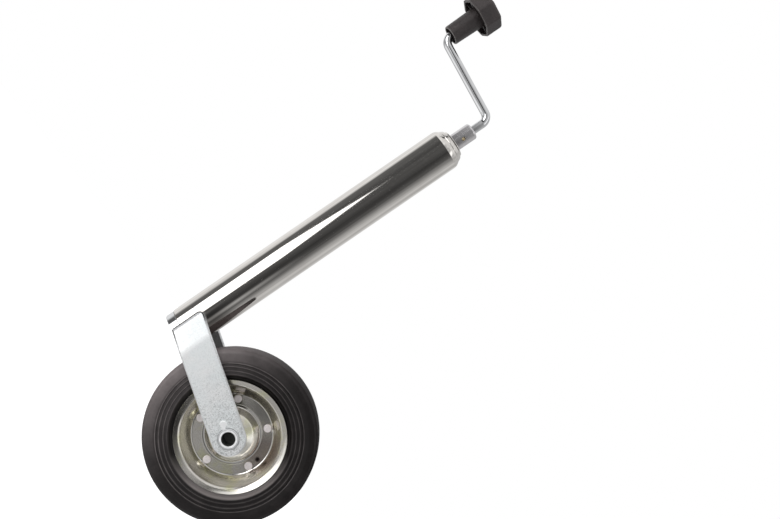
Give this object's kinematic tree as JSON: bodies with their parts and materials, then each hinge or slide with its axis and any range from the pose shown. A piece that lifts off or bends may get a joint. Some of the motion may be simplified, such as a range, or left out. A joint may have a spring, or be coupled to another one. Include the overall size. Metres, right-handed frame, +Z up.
{
  "type": "jockey wheel",
  "caption": "Trailer jockey wheel: a crank and an enclosed screw extend a tubular stem that carries an offset fork and a solid-tyred wheel.",
  "frame": {"origin": "on the stem's axis, at the lower end of the outer tube, with the lift wound fully in", "axes": "+Z up along the stem, +X from the stem to the wheel at rest, Y along the wheel's axle; the crank arm points to -X at rest"},
  "size_m": [0.3597, 0.0688, 0.6217],
  "materials": {
    "bright_plating": "mirror-bright plating on steel",
    "zinc_plating": "bright zinc plating",
    "galvanised_steel": "matte, fine-grained galvanised",
    "rim_plating": "satin, faintly yellow zinc plating",
    "machined_steel": "machined and oiled",
    "bearing_steel": "ground",
    "knob_plastic": "satin moulded",
    "bush_nylon": "satin moulded",
    "tyre_rubber": "smooth solid rubber"
  },
  "bodies": {
    "outer": {"outer_tube": "bright_plating", "end_plate": "bright_plating", "top_washer": "bright_plating", "thrust_race_fixed": "bearing_steel", "thrust_balls": "bearing_steel"},
    "spindle": {"spindle": "machined_steel", "thrust_race_turning": "bearing_steel", "spindle_stop_ring": "machined_steel", "coupling_sleeve": "zinc_plating", "coupling_pin": "machined_steel", "crank_rod": "zinc_plating", "knob_retainer": "machined_steel"},
    "knob": {"knob": "knob_plastic", "knob_plug": "knob_plastic"},
    "lift": {"spindle_nut": "machined_steel"},
    "leg": {"inner_tube": "zinc_plating", "fork_crown": "zinc_plating", "fork_arm_front": "galvanised_steel", "fork_arm_rear": "galvanised_steel", "fork_welds": "galvanised_steel", "axle": "zinc_plating", "axle_washers": "zinc_plating"},
    "wheel": {"tyre": "tyre_rubber", "rim_disc_front": "rim_plating", "rim_disc_rear": "rim_plating", "rim_rivets": "rim_plating", "hub_tube": "rim_plating", "hub_bush_front": "bush_nylon", "hub_bush_rear": "bush_nylon"}
  },
  "joints": [
    {"name": "crank_turn", "type": "hinge", "parent": "outer", "child": "spindle", "pos_m": [0, 0, 0.38], "axis": [0, 0, -1], "range_deg": [0, 18180]},
    {"name": "knob_spin", "type": "hinge", "parent": "spindle", "child": "knob", "pos_m": [-0.104, 0, 0.47], "axis": [0, 0, 1], "continuous": true},
    {"name": "extension", "type": "slide", "parent": "outer", "child": "lift", "axis": [0, 0, -1], "range_m": [0, 0.202]},
    {"name": "swivel", "type": "hinge", "parent": "lift", "child": "leg", "pos_m": [0, 0, 0.315], "axis": [0, 0, 1], "continuous": true},
    {"name": "wheel_spin", "type": "hinge", "parent": "leg", "child": "wheel", "pos_m": [0.131, 0, -0.0257], "axis": [0, 1, 0], "continuous": true}
  ],
  "couplings": [
    {"joint": "extension", "follows": "crank_turn", "m_per_rad": 0.00063662}
  ]
}
